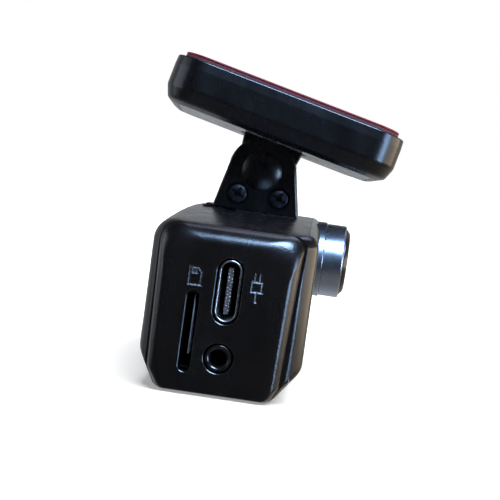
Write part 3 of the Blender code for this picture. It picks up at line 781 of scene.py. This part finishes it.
def make_lens():
    at, forward = (0, 0, middle("lens_barrel").z), (0, -1, 0)
    root, front = -high("lens_base_ring").y, -low("lens_barrel").y
    radius = high("lens_barrel").x
    flange = high("lens_base_ring").x
    seat = root + 0.8
    base = [(3.8, LENS_SEAT + SEAM), (flange, LENS_SEAT + SEAM), (flange, seat, 0.18), (3.8, seat)]
    dress(turned("lens_base_skin", base, at, forward, 96), "housing", "barrel_metal", "lens_base_ring")
    barrel = [(5.0, seat + SEAM), (radius, seat + SEAM), (radius, front, 0.35), (5.6, front, 0.1)]
    barrel += [(5.55, front - 1.3), (5.0, front - 1.3)]
    dress(turned("lens_barrel_skin", barrel, at, forward, 96), "housing", "barrel_metal", "lens_barrel")
    bezel = [(3.05, front - 1.0), (5.4, front - 1.0), (5.4, front + 0.15, 0.3), (4.8, front + 0.65, 0.4)]
    bezel += [(4.0, front + 0.75, 0.3), (3.7, front + 0.35, 0.1), (3.05, front + 0.2, 0.1)]
    dress(turned("lens_bezel_skin", bezel, at, forward, 96), "housing", "gloss_plastic", "lens_bezel")
    lens_radius, bulge = 2.9, 1.5
    glass = [(0, front - 1.0), (lens_radius, front - 1.0), (lens_radius, front - 0.9)]
    for angle in reversed(quarter(11)[:-1]):
        glass.append((lens_radius * math.sin(angle), front - 0.9 + bulge * math.cos(angle)))
    glass.append((0, front - 0.9 + bulge))
    dress(turned("front_lens_skin", glass, at, forward), "housing", "lens_glass", "front_lens")
    cell = [(2.2, 4.4), (3.1, 4.4), (3.1, root + 0.6), (4.8, front - 2.4, 0.2), (4.8, front - 1.4, 0.1)]
    cell += [(4.1, front - 1.4, 0.1), (3.6, front - 2.0), (3.2, front - 2.0), (2.9, front - 2.8), (2.2, root)]
    dress(turned("lens_cell_skin", cell, at, forward), "housing", "housing_plastic", "lens_cell")
    rear = [(0, 5.2), (2.0, 5.2), (2.0, 6.0), (1.7, 6.3), (1.3, 6.55), (0.7, 6.75), (0, 6.8)]
    dress(turned("rear_lens_skin", rear, at, forward), "housing", "lens_glass", "rear_lens")


def make_button():
    """A round button with a dished top, and the light pipe beside it."""
    start, end, at = low("power_button"), high("power_button"), middle("power_button")
    top = end.y - start.y
    cap = [(0, 0), (1.2, 0, 0.1), (1.2, 0.8), (3.2, 0.8, 0.1), (3.2, 1.5, 0.1), (BUTTON_RADIUS, 1.5)]
    cap += [(BUTTON_RADIUS, top, 0.35), (2.0, top, 0.3), (1.2, top - 0.22, 0.4), (0, top - 0.3)]
    button = turned("button_cap", cap, (at.x, start.y, at.z), (0, 1, 0))
    dress(button, "button", "housing_plastic", "power_button")
    start, end, at = low("light_pipe"), high("light_pipe"), middle("light_pipe")
    top = end.y - start.y
    profile = [(0, 0), (1.6, 0, 0.08), (1.6, 0.4, 0.08)]
    profile += [(PIPE_RADIUS, 0.4), (PIPE_RADIUS, top - 0.05, 0.3), (0, top)]
    pipe = turned("light_pipe_skin", profile, (at.x, start.y, at.z), (0, 1, 0))
    dress(pipe, "housing", "light_pipe", "light_pipe")


# ---------------------------------------------------------------- bracket


def tangent_angle(corner):
    """The direction from the ball's centre to where a line from the corner grazes the cheek's arc."""
    offset = Vector(corner) - Vector((BALL.y, BALL.z))
    lean = math.acos(CHEEK_ARC / offset.length)
    angle = math.atan2(offset.y, offset.x)
    return angle + lean if offset.x > 0 else angle - lean


def cheek_outline(steps=48):
    """A cheek's (y, z) outline: the foot, two leaning sides and the arc over the ball."""
    back, front = (FOOT_BACK, FOOT_Z), (FOOT_FRONT, FOOT_Z)
    start, end = tangent_angle(back), tangent_angle(front) % (2 * math.pi)
    points = [back]
    for step in range(steps + 1):
        angle = start + (end - start) * step / steps
        points.append((BALL.y + CHEEK_ARC * math.cos(angle), BALL.z + CHEEK_ARC * math.sin(angle)))
    return points + [front]


def dome_profile():
    """A spherical cap over the ball with a small fillet where it meets the cheek, as (radius, height)."""
    edge, fillet, sunk = 3.0, 0.25, CHEEK_INNER + 0.5
    points = [(0, sunk), (edge + fillet + 0.1, sunk), (edge + fillet + 0.1, CHEEK_OUTER - 0.02)]
    rim = math.sqrt(DOME_RADIUS**2 - edge**2)
    for step in range(6):
        share = step / 5
        points.append((edge + fillet * (1 - share), CHEEK_OUTER + (rim - CHEEK_OUTER) * share**1.7))
    for step in range(1, 12):
        radius = edge * (1 - step / 11)
        points.append((radius, math.sqrt(DOME_RADIUS**2 - radius**2)))
    return points


def cheek(name, side):
    """One plate of the clamp, at -X or +X of the ball, with its dome."""
    outline = cheek_outline()
    faces = [ring(outline, side * CHEEK_INNER), ring(outline, side * CHEEK_OUTER)]
    plate = loft(name, faces, smooth_below=30)
    soften(plate, 0.35, 4, 60)
    boolean(plate, turned("dome", dome_profile(), BALL, (side, 0, 0), 96), "UNION")
    return plate


def screw_head(name, node):
    """A pan head with a cross recess, on a plain shank."""
    start, end, at = low(node), high(node), middle(node)
    length, thickness, dome = end.x - start.x, 0.6, 0.12
    head = [(0, -dome), (0.9, -0.10), (1.35, 0.02, 0.1), (SCREW_HEAD, 0.3, 0.12), (SCREW_HEAD, thickness)]
    head += [(SCREW_SHANK, thickness), (SCREW_SHANK, length - 0.5), (0.4, length), (0, length)]
    screw = turned(name, head, (start.x + dome, at.y, at.z), (1, 0, 0), 64)
    reach, half, depth, pit_depth = 1.15, 0.27, 0.45, 1.4
    for along, across in ((reach, half), (half, reach)):
        low_corner = (start.x - 1, at.y - along, at.z - across)
        boolean(screw, box("cross", low_corner, (start.x + depth, at.y + along, at.z + across)))
    boolean(screw, cylinder("pit", 0.5, (start.x - 1, at.y, at.z), (start.x + pit_depth, at.y, at.z)))
    place = Matrix.Translation(at * MM)
    screw.data.transform(place @ Matrix.Rotation(CROSS_TURN, 4, "X") @ place.inverted())
    dress(screw, "housing", "screw_steel", node)


def make_bracket():
    """The clamp: a loose cheek on the port side, and a block of the other cheek, the base and the foot."""
    clamp, block = cheek("clamp_cheek", -1), cheek("socket_cheek", 1)
    base_low = (-CHEEK_INNER + GAP, FOOT_FRONT + 0.9, FOOT_Z + 0.1)
    boolean(block, box("base", base_low, (CHEEK_INNER + 0.4, FOOT_BACK - 0.8, BASE_TOP), 0.25), "UNION")
    flange_low = (-CHEEK_OUTER + GAP, FOOT_BACK + GAP, FOOT_Z - 0.05)
    boolean(block, box("flange", flange_low, (CHEEK_OUTER - GAP, FLANGE_BACK, FOOT_Z + 0.16), 0.06), "UNION")
    neck_low = (-CHEEK_INNER + GAP, FOOT_BACK - 2.0, FOOT_Z - 0.02)
    boolean(block, box("neck", neck_low, (CHEEK_INNER - GAP, FLANGE_BACK - 0.5, FOOT_Z + 0.4)), "UNION")
    for number in (1, 2):
        at = middle(f"clamp_screw_{number}")
        outside, floor = (-6.0, at.y, at.z), (-CHEEK_OUTER + SCREW_SUNK, at.y, at.z)
        mouth = (-CHEEK_OUTER - 1, at.y, at.z)
        boolean(clamp, cylinder("recess", SCREW_RECESS, mouth, floor, sides=64))
        for piece in (clamp, block):
            boolean(piece, cylinder("hole", SCREW_HOLE, outside, (CHEEK_INNER, at.y, at.z)))
    for piece in (clamp, block):
        boolean(piece, sphere("pocket", POCKET_RADIUS, BALL))
    at = middle("bracket_screw")
    boolean(block, cylinder("thread", MOUNT_THREAD, (0, at.y, 24), (0, at.y, 27.6)))
    for piece in (clamp, block):
        keep_flat(piece.data)
    dress(clamp, "housing", "bracket_plastic", "clamp_plate")
    dress(block, "housing", "bracket_plastic", "socket_block")
    for number in (1, 2):
        screw_head(f"cross_screw_{number}", f"clamp_screw_{number}")
    dress(sphere("ball_skin", BALL_RADIUS, BALL), "ball", "bracket_plastic", "ball")


# ---------------------------------------------------------------- stem and adhesive plate


def make_stem():
    """The flat bar from the ball to the plate, made upright and then turned with it."""
    half = [(4.6, 1.0), (4.75, 2.4), (5.0, 4.0), (5.3, RECESS_TOP - GAP)]
    outline = [(a, b, 0) for a, b in half] + [(-a, b, 0) for a, b in reversed(half)]
    thickness = high("stem").x - 0.3
    stem = loft("stem_skin", [ring(rounded(outline), side * thickness) for side in (-1, 1)])
    soften(stem, 0.3, 3, 50)
    boolean(stem, sphere("hollow", BALL_RADIUS + GAP, (0, 0, 0)))
    dress(turn_on_ball(stem, STEM_TURN), "stem", "bracket_plastic", "stem")


def plate_ring(inset, z):
    """The plate's outline at height z, drawn in by `inset`."""
    corner = max(PLATE_CORNER - inset, 1.0)
    x, y = PLATE_X - inset, PLATE_Y - inset
    corners = [(x, y, corner), (x, -y, corner), (-x, -y, corner), (-x, y, corner)]
    return [Vector((a, b, z)) for a, b in rounded(corners, 16)]


def plate_layer(name, inset, bottom, top, edge):
    """A sheet with rounded edges, in the plate's outline."""
    flat = inset + edge + 0.5
    side = [(flat, bottom, 0), (inset, bottom, edge), (inset, top, edge), (flat, top, 0)]
    rings = [plate_ring(a, b) for a, b in rounded(side, 4)]
    return loft(name, rings)


def make_plate():
    """The shell with its sunk top, the recessed underside cover, the foam pad and the film on it."""
    floor, shoulder = PLATE_TOP - PAD_SUNK, PLATE_TOP - 1.8
    side = [
        (PAD_INSET - GAP, floor, 0), (PAD_INSET - GAP, PLATE_RIM, 0.05),
        (0.1, PLATE_RIM, 0.2), (0, shoulder, 2.0),
        (0.0, PLATE_BOTTOM + 2.6, 2.0), (0.8, PLATE_BOTTOM + 0.55, 1.0), (2.2, PLATE_BOTTOM, 0.5),
        (PLATE_WALL, PLATE_BOTTOM, 0.08), (PLATE_WALL, shoulder, 0),
    ]
    shell = loft("plate_body", [plate_ring(a, b) for a, b in rounded(side, 6)])
    dress(turn_on_ball(shell, PLATE_TURN), "plate", "plate_plastic", "plate_shell")

    cover = plate_layer("plate_cover_skin", PLATE_WALL + GAP / 2, PLATE_BOTTOM, PLATE_BOTTOM + 1.4, 0.12)
    boolean(cover, cylinder("recess", RECESS_RADIUS, (0, 0, PLATE_BOTTOM - 1), (0, 0, RECESS_TOP), 0.15, 96))
    # The cover's grey paints in the floor's reflection on the plate's underside.
    dress(turn_on_ball(cover, PLATE_TURN), "plate", "cover_plastic", "plate_cover")

    pad_z = floor + GAP / 2
    pad = plate_layer("foam_pad", PAD_INSET, pad_z, pad_z + PAD_THICKNESS, 0.05)
    dress(turn_on_ball(pad, PLATE_TURN), "plate", "adhesive_foam", "adhesive_pad")
    film_z = pad_z + PAD_THICKNESS + GAP / 4
    film = plate_layer("film_sheet", PAD_INSET, film_z, film_z + FILM_THICKNESS, 0.12)
    dress(turn_on_ball(film, PLATE_TURN), "plate", "release_film", "release_film")


# ---------------------------------------------------------------- what the CAD shapes already give

KEPT = {
    "main_board": "board_laminate",
    "battery": "battery_wrap",
    "heat_spreader": "heat_aluminium",
    "tact_switch": "insulator",
    "speaker": "insulator",
    "image_sensor": "insulator",
    "sensor_board": "board_laminate",
    "bracket_screw": "screw_steel",
}


def keep_nodes():
    """Gives the inner CAD pieces their materials and leaves their shapes alone."""
    for node, slot in KEPT.items():
        kept = frame["nodes"][node]
        kept.data.materials.clear()
        kept.data.materials.append(looks[slot])


make_camera()
make_world()
make_stage()
looks = make_looks()
make_housing()
make_caps()
make_usb()
make_card_socket()
make_jack()
make_lens()
make_button()
make_bracket()
make_stem()
make_plate()
keep_nodes()
